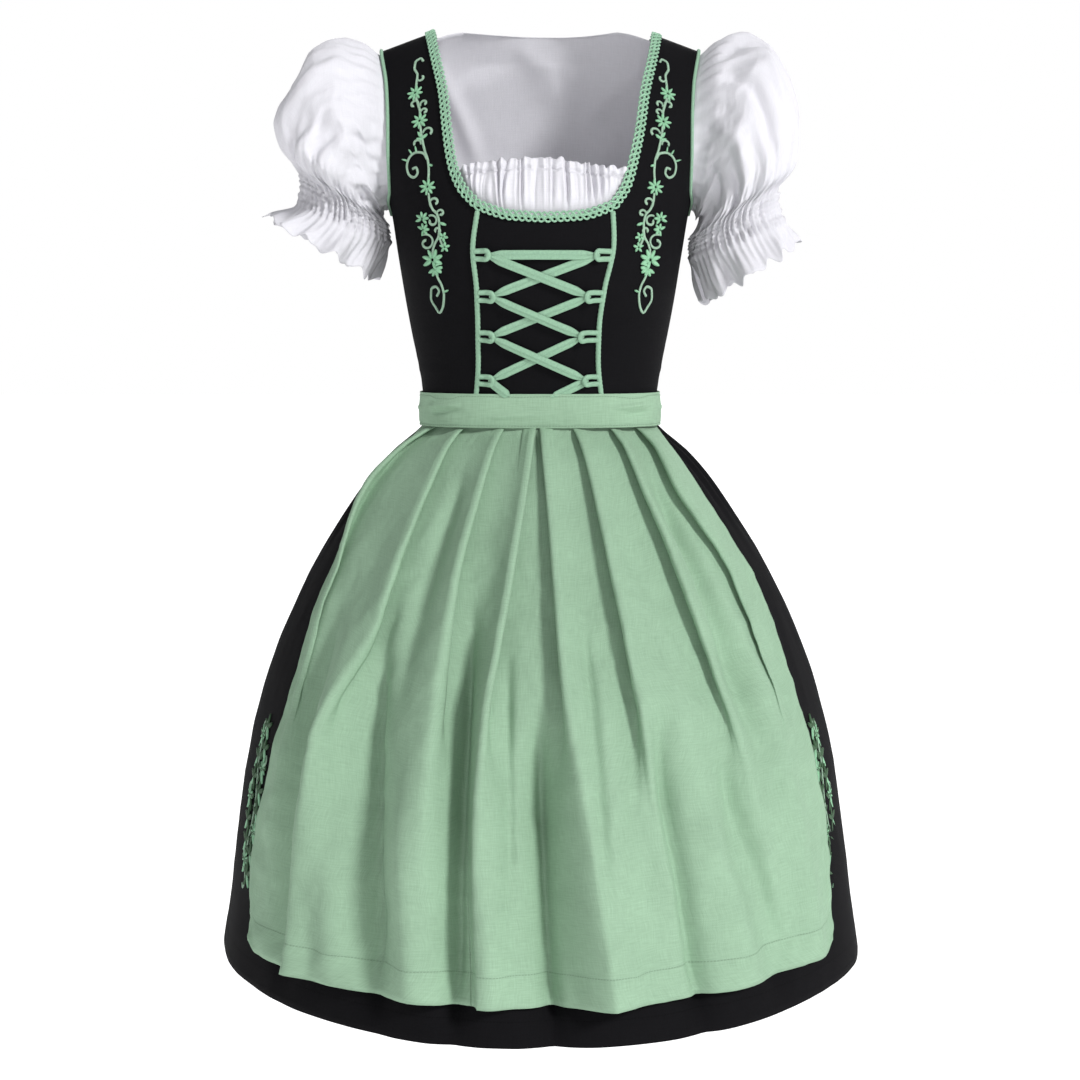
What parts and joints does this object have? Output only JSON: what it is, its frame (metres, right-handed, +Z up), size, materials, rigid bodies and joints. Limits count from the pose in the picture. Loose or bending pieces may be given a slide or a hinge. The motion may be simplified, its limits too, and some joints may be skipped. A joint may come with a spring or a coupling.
{
  "type": "dirndl dress with blouse and apron",
  "caption": "Knee-length folk dress: laced square-neck bodice over a puff-sleeve blouse, bell skirt, and a pleated apron tied at the back.",
  "frame": {"origin": "midway between the tops of the shoulder straps, where the wearer's shoulders carry the dress", "axes": "+Z up, the front faces -Y, the wearer's left arm is at +X"},
  "size_m": [0.6858, 0.7243, 0.9617],
  "materials": {
    "black_cotton": "matte plain-weave cotton",
    "white_cotton": "matte fine cotton",
    "green_cotton": "matte plain-weave cotton with faint slubs",
    "green_trim": "soft-sheen ribbon, braid and thread"
  },
  "bodies": {
    "root": {"apron_band": "green_cotton", "apron_skirt": "green_cotton", "apron_tie_left": "green_cotton", "apron_tie_right": "green_cotton", "blouse_back": "white_cotton", "blouse_front": "white_cotton", "bodice_back_centre": "black_cotton", "bodice_front_centre": "black_cotton", "bodice_side_back_left": "black_cotton", "bodice_side_back_right": "black_cotton", "bodice_side_front_left": "black_cotton", "bodice_side_front_right": "black_cotton", "bow_knot": "green_cotton", "bow_loop_left": "green_cotton", "bow_loop_right": "green_cotton", "bow_tail_left": "green_cotton", "bow_tail_right": "green_cotton", "lace": "green_trim", "loop_left_1": "green_trim", "loop_left_2": "green_trim", "loop_left_3": "green_trim", "loop_left_4": "green_trim", "loop_right_1": "green_trim", "loop_right_2": "green_trim", "loop_right_3": "green_trim", "loop_right_4": "green_trim", "neck_braid": "green_trim", "piping_armhole_left": "green_trim", "piping_armhole_right": "green_trim", "piping_front_left": "green_trim", "piping_front_right": "green_trim", "skirt_back": "black_cotton", "skirt_front": "black_cotton", "sleeve_cuff_left": "white_cotton", "sleeve_cuff_right": "white_cotton", "sleeve_frill_left": "white_cotton", "sleeve_frill_right": "white_cotton", "sleeve_puff_left": "white_cotton", "sleeve_puff_right": "white_cotton"}
  },
  "joints": []
}
